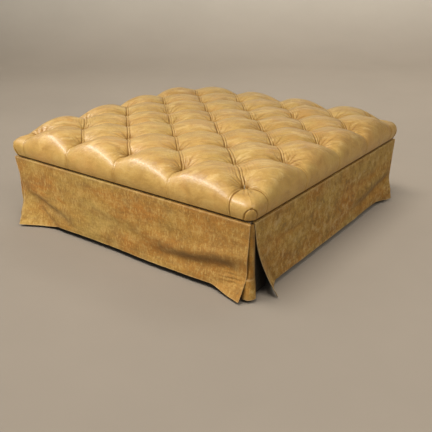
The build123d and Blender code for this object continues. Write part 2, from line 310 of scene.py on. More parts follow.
class Nodes:
    """One procedural material."""

    def __init__(self, name):
        self.material = bpy.data.materials.new(name)
        self.material.use_nodes = True
        self.tree = self.material.node_tree
        self.shader = self.tree.nodes["Principled BSDF"]
        self.place = self.add("TexCoord").outputs["Object"]

    def feed(self, socket, value):
        """Link a socket to another node's output, or set it to a plain value."""
        if isinstance(value, bpy.types.NodeSocket):
            self.tree.links.new(value, socket)
        elif socket.type == "RGBA" and len(value) == 3:
            socket.default_value = (*value, 1)
        else:
            socket.default_value = value

    def add(self, kind, inputs=None, **settings):
        node = self.tree.nodes.new("ShaderNode" + kind)
        for key, value in settings.items():
            setattr(node, key, value)
        for name, value in (inputs or {}).items():
            self.feed(node.inputs[name], value)
        return node

    def set(self, **values):
        """Feed the shader."""
        for key, value in values.items():
            self.feed(self.shader.inputs[key.replace("_", " ")], value)

    def axis(self, name):
        """One object coordinate, in metres."""
        return self.add("SeparateXYZ", {"Vector": self.place}).outputs[name]

    def stretched(self, x, y, z, turn=0.0):
        """Object coordinates turned about the vertical and stretched, for grain one way."""
        inputs = {"Vector": self.place, "Rotation": (0, 0, math.radians(turn))}
        inputs["Scale"] = (1 / x, 1 / y, 1 / z)
        return self.add("Mapping", inputs, vector_type="TEXTURE").outputs["Vector"]

    def noise(self, size, detail=4.0, rough=0.55, where=None, warp=0.0):
        """Noise with features of about that size in millimetres."""
        inputs = {"Vector": where or self.place, "Scale": 1 / (size * MM), "Detail": detail}
        inputs.update(Roughness=rough, Distortion=warp)
        return self.add("TexNoise", inputs).outputs["Fac"]

    def cells(self, size):
        """Distance in a soft cell pattern of that size in millimetres."""
        inputs = {"Vector": self.place, "Scale": 1 / (size * MM)}
        return self.add("TexVoronoi", inputs, feature="SMOOTH_F1").outputs["Distance"]

    def attribute(self, name):
        return self.add("Attribute", attribute_name=name).outputs["Fac"]

    def ramp(self, factor, *stops):
        """A colour or grey level by position."""
        node = self.add("ValToRGB", {"Fac": factor})
        bar = node.color_ramp.elements
        while len(bar) < len(stops):
            bar.new(0.5)
        for element, (position, colour) in zip(bar, stops):
            element.position = position
            grey = not hasattr(colour, "__len__")
            element.color = (colour,) * 3 + (1,) if grey else (*colour, 1)
        return node.outputs["Color"]

    def mix(self, factor, a, b, blend="MIX"):
        node = self.add("Mix", {"Factor": factor}, data_type="RGBA", blend_type=blend)
        for socket, value in zip([s for s in node.inputs if s.type == "RGBA"], (a, b)):
            self.feed(socket, value)
        return [s for s in node.outputs if s.type == "RGBA"][0]

    def patch(self, base, pattern, bare, full, strength, colour):
        """A colour over the base, from nothing at one level of a pattern to its full strength."""
        stops = sorted([(bare, 0.0), (full, strength)])
        return self.mix(self.ramp(pattern, *stops), base, colour)

    def math(self, operation, a, b):
        node = self.add("Math", operation=operation)
        for socket, value in zip(node.inputs, (a, b)):
            self.feed(socket, value)
        return node.outputs["Value"]

    def bump(self, height, depth, normal=None):
        """Bump of a depth in millimetres, over an earlier one if given."""
        inputs = {"Height": height, "Distance": depth * MM}
        if normal is not None:
            inputs["Normal"] = normal
        return self.add("Bump", inputs).outputs["Normal"]


def cushion_leather():
    """Waxy pull-up leather: camel tan, browner in the creases, partly its own colour and partly
    painted shade, nearly black along the seam as painted shade, and paler where stretched.
    """
    n = Nodes("cushion_leather")
    broad = n.noise(210, 3, 0.5)
    patches = n.noise(52, 5, 0.6, warp=0.6)
    fine = n.noise(6, 6, 0.68)
    brown, camel, straw = (0.39, 0.215, 0.050), (0.50, 0.295, 0.076), (0.58, 0.37, 0.115)
    base = n.ramp(patches, (0.32, brown), (0.52, camel), (0.72, straw))
    tint = n.patch(base, broad, 0.40, 0.66, 0.5, (0.46, 0.30, 0.076))
    warm = n.patch(tint, n.noise(120, 4, 0.6, warp=0.5), 0.50, 0.68, 0.5, (0.53, 0.27, 0.07))
    speck = n.patch(warm, fine, 0.55, 0.35, 0.32, (0.38, 0.21, 0.06))
    # Stretch lines on the top only, aslant like the pleats
    on_top = n.ramp(n.axis("Z"), ((crest - 60) * MM, 0.0), ((crest - 33) * MM, 1.0))
    lines = n.noise(26, 6, 0.66, where=n.stretched(0.30, 1.0, 0.6, 45.0), warp=0.9)
    dark_line = n.math("MULTIPLY", n.ramp(lines, (0.36, 0.7), (0.46, 0.0)), on_top)
    pale_line = n.math("MULTIPLY", n.ramp(lines, (0.53, 0.0), (0.64, 0.5)), on_top)
    lined = n.mix(pale_line, n.mix(dark_line, speck, (0.36, 0.185, 0.045)), (0.68, 0.47, 0.19))
    # Browner creases: partly the pull-up leather's own darker folds, partly painted shade in the grooves,
    # the buttons' pits and the darts
    creased = n.patch(lined, n.attribute("crease"), 0.05, 0.8, 0.74, (0.18, 0.080, 0.016))
    # The seam's crease goes on to twice the depth of a pleat's, and turns nearly black there: painted
    # shade in the gap under the cushion
    seam = n.math("MULTIPLY", n.attribute("crease"), 0.5)
    seam_shaded = n.patch(creased, seam, 0.55, 1.0, 0.95, (0.020, 0.012, 0.006))
    colour = n.patch(seam_shaded, n.attribute("ridge"), 0.2, 1.0, 0.4, (0.66, 0.45, 0.18))
    grain = n.cells(1.6)
    pores = n.noise(0.9, 2, 0.5)
    wrinkles = n.noise(15, 6, 0.64, where=n.stretched(1.0, 1.0, 0.7), warp=1.2)
    normal = n.bump(wrinkles, 2.0)
    normal = n.bump(n.math("MULTIPLY", lines, on_top), 4.5, normal)
    normal = n.bump(n.noise(6, 5, 0.7, warp=1.5), 0.35, normal)
    normal = n.bump(grain, 0.16, normal)
    normal = n.bump(pores, 0.05, normal)
    rough = n.ramp(patches, (0.3, 0.38), (0.7, 0.50))
    gloss = n.ramp(n.attribute("crease"), (0.05, 0.28), (0.8, 0.04))
    n.set(Base_Color=colour, Roughness=rough, Normal=normal, Specular_IOR_Level=gloss)
    n.set(Coat_Weight=n.ramp(n.attribute("crease"), (0.05, 0.20), (0.6, 0.0)), Coat_Roughness=0.24)
    return n.material


def skirt_leather():
    """Mottled nubuck: golden brown with warmer and paler smudges, painted darker in its folds as
    shade, dark on the inside, and nearly black as painted shade where an underlay turns behind a panel.
    """
    n = Nodes("skirt_leather")
    broad = n.noise(230, 4, 0.55, where=n.stretched(0.8, 0.8, 1.5), warp=0.5)
    patches = n.noise(75, 5, 0.6, where=n.stretched(0.75, 0.75, 1.3), warp=0.6)
    streaks = n.noise(46, 6, 0.66, where=n.stretched(0.5, 0.5, 1.7))
    rubs = n.noise(13, 6, 0.7, where=n.stretched(1.5, 0.9, 0.6))
    fine = n.noise(3.5, 5, 0.7)
    gold, brown, rust = (0.385, 0.240, 0.052), (0.355, 0.185, 0.031), (0.36, 0.145, 0.018)
    smudge, bloom = (0.20, 0.105, 0.026), (0.54, 0.345, 0.100)
    base = n.ramp(broad, (0.38, gold), (0.50, brown), (0.62, rust))
    # The front panel turns warmer to the right, and the right panel has clouds of its own
    across = n.axis("X")
    front_end, right_start = (skirt_half - 3) * MM, (skirt_half + 1) * MM
    right_end = n.ramp(across, (0.05, 0.0), (0.45, 0.62), (front_end, 0.62), (right_start, 0.0))
    base = n.mix(right_end, base, (0.37, 0.150, 0.020))
    right_side = n.ramp(across, (front_end, 0.0), (right_start, 1.0))
    base = n.patch(base, patches, 0.52, 0.36, 0.42, (0.21, 0.115, 0.032))
    base = n.patch(base, streaks, 0.51, 0.66, 0.30, bloom)
    base = n.patch(base, streaks, 0.48, 0.34, 0.42, smudge)
    blots = n.noise(9, 5, 0.75, warp=0.3)
    base = n.patch(base, blots, 0.50, 0.36, 0.42, smudge)
    base = n.patch(base, blots, 0.54, 0.70, 0.32, bloom)
    base = n.patch(base, rubs, 0.51, 0.66, 0.60, (0.58, 0.38, 0.115))
    scrapes = n.noise(34, 6, 0.74, where=n.stretched(0.9, 0.8, 0.65))
    base = n.patch(base, scrapes, 0.52, 0.66, 0.45, (0.56, 0.36, 0.105))
    base = n.patch(base, scrapes, 0.47, 0.34, 0.45, (0.19, 0.098, 0.022))
    clouds = n.noise(26, 6, 0.76, where=n.stretched(1.0, 0.9, 0.8), warp=0.4)
    thin = n.math("MULTIPLY", n.ramp(clouds, (0.51, 0.0), (0.66, 0.6)), right_side)
    deep = n.math("MULTIPLY", n.ramp(clouds, (0.34, 0.75), (0.49, 0.0)), right_side)
    base = n.mix(deep, n.mix(thin, base, (0.56, 0.42, 0.20)), (0.15, 0.095, 0.040))
    speck = n.patch(base, fine, 0.52, 0.36, 0.35, (0.20, 0.105, 0.028))
    edge = n.patch(speck, n.attribute("edge"), 0.0, 1.0, 0.7, (0.62, 0.45, 0.24))
    # Painted shade: the crease mark darkens the panels' folds and trough and the underlays' turn to their
    # far arms; it also darkens the hem's groove and the seams of the underlays' bands. The inside mark
    # paints the backs nearly black, and the underlays' far arms as painted shade in the gap behind the
    # panels
    crease = n.patch(edge, n.attribute("crease"), 0.0, 1.0, 0.75, (0.13, 0.075, 0.025))
    colour = n.mix(n.attribute("inside"), crease, (0.012, 0.009, 0.006))
    nap = n.noise(0.8, 3, 0.7)
    wrinkles = n.noise(30, 6, 0.6, where=n.stretched(0.7, 0.7, 1.5), warp=0.8)
    normal = n.bump(wrinkles, 1.9)
    normal = n.bump(n.noise(9, 5, 0.65), 0.5, normal)
    normal = n.bump(nap, 0.10, normal)
    n.set(Base_Color=colour, Roughness=0.84, Normal=normal, Specular_IOR_Level=0.2)
    n.set(Sheen_Weight=0.10, Sheen_Roughness=0.45, Sheen_Tint=(0.9, 0.70, 0.4, 1))
    return n.material


def wood(name, light, dark, ring=14.0, along=(0.08, 1.0, 1.0), rough=0.55):
    """Sawn or planed timber with grain along one axis."""
    n = Nodes(name)
    where = n.stretched(*along)
    figure = n.noise(ring, 6, 0.6, where=where, warp=1.5)
    fibre = n.noise(1.4, 4, 0.6, where=where)
    colour = n.mix(n.ramp(figure, (0.35, 0.0), (0.65, 1.0)), light, dark)
    colour = n.patch(colour, fibre, 0.6, 0.35, 0.4, dark)
    normal = n.bump(fibre, 0.15)
    n.set(Base_Color=colour, Roughness=n.ramp(figure, (0.3, rough), (0.7, rough + 0.12)), Normal=normal)
    return n.material


def woven(name, light, dark, thread):
    """Cloth or twine: crossing threads under a soft mottle."""
    n = Nodes(name)
    warp = n.noise(thread, 1, 0.4, where=n.stretched(1.0, 0.2, 0.2))
    weft = n.noise(thread, 1, 0.4, where=n.stretched(0.2, 1.0, 0.2))
    weave = n.math("MAXIMUM", warp, weft)
    colour = n.mix(n.ramp(weave, (0.4, 0.0), (0.7, 1.0)), dark, light)
    n.set(Base_Color=colour, Roughness=0.9, Normal=n.bump(weave, 0.2))
    return n.material


def plastic(name, colour):
    """Moulded plastic with a faint spark texture and scuffs."""
    n = Nodes(name)
    scuff = n.noise(4, 6, 0.7)
    lighter = tuple(min(1, c * 1.5 + 0.02) for c in colour)
    n.set(Base_Color=n.patch(colour, scuff, 0.5, 0.75, 0.5, lighter))
    n.set(Roughness=n.ramp(scuff, (0.3, 0.42), (0.7, 0.6)), Normal=n.bump(n.noise(0.7, 2), 0.04))
    return n.material


LEATHER = cushion_leather()
NUBUCK = skirt_leather()
FRAME_WOOD = wood("frame_timber", (0.56, 0.40, 0.22), (0.40, 0.26, 0.12))
LEG_WOOD = wood("leg_timber", (0.11, 0.055, 0.028), (0.045, 0.022, 0.012), 9, (1.0, 1.0, 0.08), 0.35)
PLYWOOD = wood("deck_plywood", (0.62, 0.47, 0.28), (0.50, 0.35, 0.19), 22, (1.0, 0.06, 3.0))
TOGGLE_WOOD = wood("toggle_dowel", (0.60, 0.44, 0.25), (0.45, 0.30, 0.15), 5)
TWINE = woven("waxed_twine", (0.50, 0.42, 0.28), (0.28, 0.22, 0.13), 0.5)
DUST_CLOTH = woven("black_cambric", (0.035, 0.034, 0.033), (0.008, 0.008, 0.008), 0.7)
GLIDE = plastic("glide_nylon", (0.03, 0.03, 0.03))


# Cushion


def roll_profile():
    """The section from the top, over the edge and in under it: length, radius, share of the
    height above the bulge, and level below it."""
    nearly_upright = 89.99
    over, down, under = 240, 60, 20
    inward = 1.4 * lower_ease
    power = 2 / shoulder_power
    seam_half = half_width - seam_setback
    bulge_half = roll_start + roll_reach
    drop = bulge_level - seam_height - lower_ease
    t = np.radians(np.linspace(nearly_upright, 0, over))
    k, m = np.linspace(0, 1, down)[1:], np.linspace(0, 1, under)[1:]
    top = roll_start + roll_reach * np.cos(t) ** power
    side = bulge_half - (bulge_half - seam_half) * k**2
    foot = seam_half - inward * (1 - np.cos(np.pi / 2 * m))
    r = np.concatenate([top, side, foot])
    share = np.append(np.maximum(np.sin(t), 0) ** power, np.zeros(len(k) + len(m)))
    below = np.concatenate([0 * t, drop * k, drop + lower_ease * np.sin(np.pi / 2 * m)])
    height = share * (crown_top - crown_height / 2 - bulge_level) - below
    length = np.concatenate([[0], np.cumsum(np.hypot(np.diff(r), np.diff(height)))])
    return length, r, share, below


PROFILE = roll_profile()
cover_end = roll_start + PROFILE[0][-1]


def crown(x, y):
    """Level of the pillow crests, which the fill lifts in the middle."""
    return crown_top - crown_height * (x**2 + y**2) / (2 * half_width**2)


def seat_depth(x, y):
    """How far the buttons are pulled down from the crests at a place."""
    ring = np.maximum(np.abs(x), np.abs(y))
    return tuft_depth + border_sink * smoothstep(ring, button_line - border_reach, button_line)


def layout(a, b):
    """Where a point of the unfolded cover lies: the square ring it is on, whether it is in a
    corner, beyond the last button both ways, and its share of the way round that corner."""
    across, along = np.abs(a), np.abs(b)
    ring = np.maximum(across, along)
    corner = (across > button_line) & (along > button_line)
    spare = np.maximum(ring - button_line, 1e-6)
    w = np.where(across >= along, along - button_line, 2 * spare - (across - button_line))
    return ring, corner, np.clip(w / (2 * spare), 0, 1)


def base_surface(a, b, drop):
    """The cushion over an unfolded square of the cover, its top lowered by the drop."""
    length, r_tab, share_tab, below_tab = PROFILE
    across, along = np.abs(a), np.abs(b)
    ring, corner, w = layout(a, b)
    beyond = ring - roll_start
    r = np.where(beyond > 0, np.interp(beyond, length, r_tab), ring)
    x = np.where(across >= along, r, across)
    y = np.where(along >= across, r, along)
    reach = np.maximum(r - button_line, 1e-6)
    radius = corner_radius_share * reach
    straight = reach - radius
    arc = radius * np.pi / 2
    q = w * (2 * straight + arc)
    angle = np.clip((q - straight) / radius, 0, np.pi / 2)
    late = np.maximum(q - straight - arc, 0)
    x = np.where(corner, r - radius + radius * np.cos(angle) - late, x)
    y = np.where(corner, button_line + np.minimum(q, straight) + radius * np.sin(angle), y)
    share = np.interp(beyond, length, share_tab)
    below = np.interp(beyond, length, below_tab)
    top = crown(x, y) - drop
    z = np.where(beyond > 0, bulge_level + (top - bulge_level) * share - below, top)
    return np.stack([x * np.sign(a + 1e-12), y * np.sign(b + 1e-12), z], 2)


def nearest_button(a, b):
    """Distance and angle to the nearest button, and a number that tells them apart."""
    limit = tufts_along // 2
    i, j = (np.clip(np.round(c / pitch), -limit, limit) for c in (a, b))
    first = np.hypot(a - i * pitch, b - j * pitch)
    m, k = (np.clip(np.floor(c / pitch), -limit, limit - 1) + 0.5 for c in (a, b))
    second = np.hypot(a - m * pitch, b - k * pitch)
    near = first <= second
    dx = a - np.where(near, i, m) * pitch
    dy = b - np.where(near, j, k) * pitch
    tag = np.where(near, i * 7 + j * 13, m * 11 + k * 5 + 3)
    return np.hypot(dx, dy), np.arctan2(dy, dx), tag


def pillows(a, b):
    """How far a place of the cover lies below the pillows' crests, wrinkles apart."""
    ring, corner, w = layout(a, b)
    beyond = np.maximum(ring - button_line, 0)
    su, sv, sx = cell_shares(a, b)
    inner = (1 - 2 * np.abs(su)) ** pillow_power + (1 - 2 * np.abs(sv)) ** pillow_power
    away = nearest_button(a, b)[0]
    well = (seat_depth(a, b) - 2 * pleat_depth) * np.exp(-((away / node_reach) ** node_power))
    depth = 2 * pleat_depth + (edge_depth - 2 * pleat_depth) * smoothstep(beyond, *edge_run)
    power = pillow_power + (lobe_power - pillow_power) * smoothstep(beyond, *lobe_run)
    border = depth * (1 - 2 * np.abs(sx)) ** power
    lobe = np.abs(1 - 2 * w) ** pillow_power
    at_corner = depth + corner_dip * (1 - lobe) * smoothstep(beyond, *corner_run)
    drop = np.where(corner, at_corner, np.where(beyond > 0, border, pleat_depth * inner)) + well
    return drop + waves(a, b, pillow_puff) * (1 - np.minimum(drop / tuft_depth, 1))


def cell_shares(a, b):
    """Distances to the pleats both ways across a diamond, as shares of it, and to the nearest
    border pleat, as a share of the pitch."""
    u, v = aslant(a, b)
    side = np.where(np.abs(a) >= np.abs(b), b, a)
    return [part - np.round(part) for part in (u / diamond, v / diamond, side / pitch)]


def aslant(a, b):
    """Places along the two ways the pleats run."""
    return (a + b) / math.sqrt(2), (b - a) / math.sqrt(2)


def pleat(distance, strength):
    """A tuck's two creases and the fold of leather between them."""
    groove = hump(distance, *near_crease) + far_crease_share * hump(distance, *far_crease)
    return strength * groove, strength * hump(distance, 0, fold_width)


def folds(a, b, drop):
    """How far pleats, gathers and wrinkles stand off the pillows, how dark the creases are, partly
    the leather's own browner colour and partly painted shade, and how strongly the ridges show."""
    ring, corner, w = layout(a, b)
    beyond = np.maximum(ring - button_line, 0)
    away, angle, tag = nearest_button(a, b)
    su, sv, sx = cell_shares(a, b)
    du, dv, db = su * diamond, sv * diamond, sx * pitch
    dc = np.minimum(w, 1 - w) * 2 * beyond * np.sign(0.5 - w)

    wobble = waves(a, b, *pleat_wobbles) * smoothstep(away, 0, 60)
    pull = np.exp(-away / pull_reach)
    deep = groove_depth + groove_pull * pull
    fade = fade_share + (1 - fade_share) * np.exp(-beyond / fade_reach)
    corner_share = corner_pleat_share * smoothstep(beyond, *corner_pleat_run)
    gu, ru = pleat(du + wobble, deep)
    gv, rv = pleat(dv + wobble, deep)
    gb, rb = pleat(db + wobble, deep * fade)
    gc, rc = pleat(dc + wobble, deep * fade * corner_share)
    groove = np.where(corner, gc, np.where(beyond > 0, gb, np.maximum(gu, gv)))
    fold = np.where(corner, rc, np.where(beyond > 0, rb, np.maximum(ru, rv)))

    spokes = fewest_gathers + np.abs(tag) % 5
    swing = spokes / 2 * angle + tag * golden_angle + waves(a, b, gather_wander)
    reach = gather_reach + waves(a, b, gather_spread)
    gather = gather_height * np.abs(np.cos(swing)) ** gather_power
    gather = gather * np.exp(-((away / reach) ** 2)) * smoothstep(away, *gather_run)

    nearest = np.where(beyond > 0, np.abs(db), np.minimum(np.abs(du), np.abs(dv)))
    nearest = np.where(corner, np.abs(dc) + 30, nearest)
    bend = nearest + waves(a, b, beside_wander)
    lines = sum(share * hump(bend, place, width) for place, width, share in beside_lines)
    mask = smoothstep(waves(a, b, beside_patches), -0.25, 0.4) * np.exp(-away / beside_reach)
    beside = beside_height * mask * lines * (1 - smoothstep(beyond, *beside_run))

    u, v = aslant(a, b)
    taut = smoothstep(beyond, *taut_run)
    pulled = waves(u * 0.25, v, fine_pull) + waves(u * 0.25 + v * 0.2, v, broad_pull)
    loose = waves(a, b, *slack_waves) * (1 - taut_share * taut) + pulled * (1 - taut)

    rise = loose - groove + fold_share * fold - gather - beside
    sunk = drop - seat_depth(a, b) - button_pit
    at_button = 1 - smoothstep(away, button_seat * 0.5, button_seat * 1.2)
    rise = rise * (1 - at_button) + sunk * at_button
    # Painted shade: the creases are darkened more in the corners, and a dark halo is painted round each
    # button's pit
    tone = np.where(corner, 3.2, 1.25)
    crease = np.clip((groove * tone + gather * 1.3 + beside * 1.5) / 6.0, 0, 1)
    crease = np.maximum(crease, 0.95 * hump(away, 0, 2 * button_seat))
    beside_fold = smoothstep(hump(nearest, 9.5, 3.0), 0.2, 1.0) * pull
    return rise, crease, np.clip(fold / 7 + 0.3 * beside_fold, 0, 1)


def corner_darts(points, rise, crease, corner):
    """The cover's own dart at each corner: an arch that is cut and folded above the seam."""
    x, y, z = np.abs(points[..., 0]), np.abs(points[..., 1]), points[..., 2]
    offset = np.abs(x - y) / math.sqrt(2)
    up = z - seam_height
    arch = np.maximum(up - dart_shoulder, 0) / (dart_top - dart_shoulder)
    line = np.abs(offset - dart_half * np.sqrt(np.clip(1 - arch**2, 0, 1)))
    near_top = hump(up, dart_top, 3.5) * (offset < 4)
    groove = np.where(corner & (up < dart_top + 1), hump(line, 0, dart_width), 0)
    cut = smoothstep(x + y, *dart_run)
    groove = np.maximum(groove, np.where(corner, near_top, 0)) * cut
    bulge = np.where(corner & (offset < dart_half), dart_bulge * smoothstep(dart_top - up, 0, 15), 0)
    rise = rise - dart_groove * groove + bulge * cut
    # The dart's groove is also marked as a crease, so the leather is painted darker there as shade in the
    # groove
    return rise, np.maximum(crease, 0.95 * groove)


def cushion_surface(a, b):
    """Points of the tufted cover over the unfolded square, how far they lie below the crests,
    and what colours them."""
    ring, corner = layout(a, b)[:2]
    drop = pillows(a, b)
    rise, crease, ridge = folds(a, b, drop)
    base = base_surface(a, b, drop)
    rise, crease = corner_darts(base, rise, crease, corner)
    normals = grid_normals(base_surface(a, b, np.zeros_like(drop)))
    still = 1 - smoothstep(ring, cover_end - 30, cover_end - 12)
    # Painted shade: along the seam the crease mark is raised to 3, which the leather paints nearly black
    # as the gap under the cushion
    seam = 3 * smoothstep(ring, cover_end - 21, cover_end - 15)
    crease = np.where(ring > cover_end - 60, np.maximum(crease, seam), crease)
    return base + normals * (rise * still)[..., None], drop - rise, crease, ridge


def split_quads(sink, centre):
    """Two triangles for each cell of a grid, cut along the diagonal nearer to the cell's middle,
    so that no pleat gets a saw edge."""
    p00, p10, p11, p01 = grid_quads(*sink.shape).T
    sink = sink.ravel()
    first = np.abs((sink[p00] + sink[p11]) / 2 - centre)
    second = np.abs((sink[p10] + sink[p01]) / 2 - centre)
    use = (first <= second)[:, None]
    low = np.where(use, np.stack([p00, p10, p11], 1), np.stack([p00, p10, p01], 1))
    high = np.where(use, np.stack([p00, p11, p01], 1), np.stack([p10, p11, p01], 1))
    return np.concatenate([low, high])


def cushion():
    """The tufted cushion, closed below."""
    half_cells = int(cover_end / mesh_step)
    ticks = np.arange(-half_cells, half_cells + 1) * mesh_step
    a, b = np.meshgrid(ticks, ticks, indexing="ij")
    points, sink, crease, ridge = cushion_surface(a, b)
    ca, cb = a[:-1, :-1] + mesh_step / 2, b[:-1, :-1] + mesh_step / 2
    drop = pillows(ca, cb)
    centre = (drop - folds(ca, cb, drop)[0]).ravel()
    top = split_quads(sink, centre)

    # The underside: from the border in to a ring round the deck, and from there to a hub
    rim = rim_of(*sink.shape)
    verts = points.reshape(-1, 3)
    inner = verts[rim]
    inner[:, :2] *= (frame_half + cover_overhang) / np.abs(inner[:, :2]).max()
    inner[:, 2] = deck_top + shut_gap
    count = len(verts)
    ring = np.arange(len(rim)) + count
    after, ring_after = np.roll(rim, -1), np.roll(ring, -1)
    wall = [np.stack([rim, after, ring_after], 1), np.stack([rim, ring_after, ring], 1)]
    fan = np.stack([ring, ring_after, np.full(len(rim), count + len(rim))], 1)
    verts = np.concatenate([verts, inner, [[0, 0, deck_top + shut_gap]]])
    extra = np.zeros(len(rim) + 1)
    attributes = {"crease": np.append(crease, extra), "ridge": np.append(ridge, extra)}
    return make_object("tufted_cushion", verts, np.concatenate([top, *wall, fan]), LEATHER, attributes)


def button_places():
    """Plan places of the buttons: the square grid and the staggered one between."""
    line = [k * pitch - button_line for k in range(tufts_along)]
    between = [x + pitch / 2 for x in line[:-1]]
    return [(x, y) for x in line for y in line] + [(x, y) for x in between for y in between]


def buttons():
    """Leather-covered domes, gathered at the rim."""
    rings, spokes, gathers = 9, 36, 9
    verts, triangles, quads, crease = [], [], [], []
    for number, (x, y) in enumerate(button_places()):
        start = len(verts)
        level = crown(x, y) - seat_depth(x, y) - button_pit - button_rest
        lean = np.random.default_rng(SEED + number).uniform(-button_lean, button_lean, 2)
        verts.append((x, y, level + button_dome))
        crease.append(0)
        for ring in range(1, rings + 1):
            t = ring / rings
            if t < rim_share:
                r = button_radius * math.sin(math.pi / 2 * min(1, t * 1.12))
                height = button_dome - button_fall * t**2.6
            else:
                r = button_radius * (1 + rim_share - t)
                height = button_rim - 26 * (t - rim_share)
            for k in range(spokes):
                angle = 2 * math.pi * k / spokes
                ripple = 1 - 0.03 * t**4 * (1 + math.cos(angle * gathers))
                px, py = r * ripple * math.cos(angle), r * ripple * math.sin(angle)
                verts.append((x + px, y + py, level + height + lean[0] * px + lean[1] * py))
                # The crease mark browns the gathered rim: partly the leather's own colour, partly painted
                # shade where the button sinks into its pit
                crease.append(0.5 * t**6)
        for k in range(spokes):
            after = (k + 1) % spokes
            triangles.append((start, start + 1 + k, start + 1 + after))
            for ring in range(rings - 1):
                low = start + 1 + ring * spokes
                quads.append((low + k, low + spokes + k, low + spokes + after, low + after))
    faces = [np.array(triangles), np.array(quads)]
    attributes = {"crease": crease, "ridge": np.zeros(len(crease))}
    return make_object("cushion_buttons", verts, faces, LEATHER, attributes)


# Skirt


def leather_sheet(name, outer, edge, crease, inside=0.0):
    """A closed nubuck sheet: a grid of points on its face, and its back one thickness behind,
    with how rubbed its edges are, how dark its creases are, partly as painted shade, and how dark it is
    painted inside: the back nearly black, and an underlay's far arm as painted shade in the gap behind a
    panel."""
    rows, columns = outer.shape[:2]
    inner = outer - grid_normals(outer) * leather_thickness
    count = rows * columns
    rim = rim_of(rows, columns)
    after = np.roll(rim, -1)
    wall = np.stack([rim + count, after + count, after, rim], 1)
    face = grid_quads(rows, columns)
    faces = np.concatenate([face, face[:, ::-1] + count, wall])
    verts = np.concatenate([outer.reshape(-1, 3), inner.reshape(-1, 3)])
    inside = np.broadcast_to(inside, edge.shape)
    marks = {
        "inside": np.stack([inside, np.ones(edge.shape)]),
        "edge": np.stack([edge, edge]),
        "crease": np.stack([crease, crease]),
    }
    made = make_object(name, verts, faces, NUBUCK, marks)
    return made


def bent(distance, bend):
    """How far leather stands out at a distance past its fold line: a bend, then straight on."""
    past = np.maximum(distance + bend_lead, 0)
    return np.where(past < bend, past**2 / (2 * bend), past - bend / 2)


def curl(x, z, side, form):
    """How far a free end of the front panel stands out, and the distance past its fold line,
    which runs from the free edge down to the hem."""
    drop = skirt_top - hem_level
    end = skirt_half - form["gap"]
    edge_x, edge_z = end - form["start_share"] * form["tuck"], skirt_top - form["start_share"] * drop
    along = np.array([skirt_half - form["run"] - edge_x, hem_level - edge_z])
    along = along / np.hypot(*along)
    normal = np.array([-along[1], along[0]])
    reach = (end - form["tuck"] - edge_x) * normal[0] + (hem_level - edge_z) * normal[1]
    past = (side * x - edge_x) * normal[0] + (z - edge_z) * normal[1]
    return form["flare"] * bent(past, form["bend"]) / bent(reach, form["bend"]), past


def flat_panel(kick, slack):
    """A panel before it curls: its points, row by row from the lip's edge down, each point's
    share of the drop, and how rubbed the turned top edge and the hem are."""
    lip_rows, fold_rows, drop_rows, columns = 4, 5, 116, 380
    rows = lip_rows + fold_rows + drop_rows
    drop = skirt_top - hem_level
    u = np.linspace(0, 1, columns)
    u = u - 0.035 * np.sin(2 * np.pi * u)
    points = np.zeros((rows, columns, 3))
    edge = np.zeros((rows, columns))
    lip_half = frame_half + lip_gap
    low_top, high_top = skirt_half - kick["gap"], skirt_half - slack["gap"]
    for row in range(rows):
        low_end, high_end = low_top, high_top
        if row < lip_rows:
            share = row / lip_rows
            y, z = skirt_half - lip_fold - lip_depth * (1 - share), skirt_top
            low_end = min(low_top, lip_half + (low_top - lip_half) * share)
            high_end = lip_half + (high_top - lip_half) * share
        elif row < lip_rows + fold_rows:
            angle = math.pi / 2 * (row - lip_rows) / fold_rows
            y = skirt_half - lip_fold + lip_fold * math.sin(angle)
            z = skirt_top - lip_fold + lip_fold * math.cos(angle)
            edge[row] = math.sin(2 * angle) * 0.25
        else:
            t = (row - lip_rows - fold_rows) / (drop_rows - 1)
            y, z = skirt_half, skirt_top - lip_fold - (drop - lip_fold) * t
            low_end -= kick["tuck"] * (skirt_top - z) / drop
            high_end -= slack["tuck"] * (skirt_top - z) / drop
            edge[row] = 0.3 * math.exp(-t * drop / 1.4) + 0.3 * smoothstep(z, hem_level + 5, hem_level)
        points[row, :, 0] = -low_end + (low_end + high_end) * u
        points[row, :, 1] = -y
        points[row, :, 2] = z
    return points, (skirt_top - points[..., 2]) / drop, edge


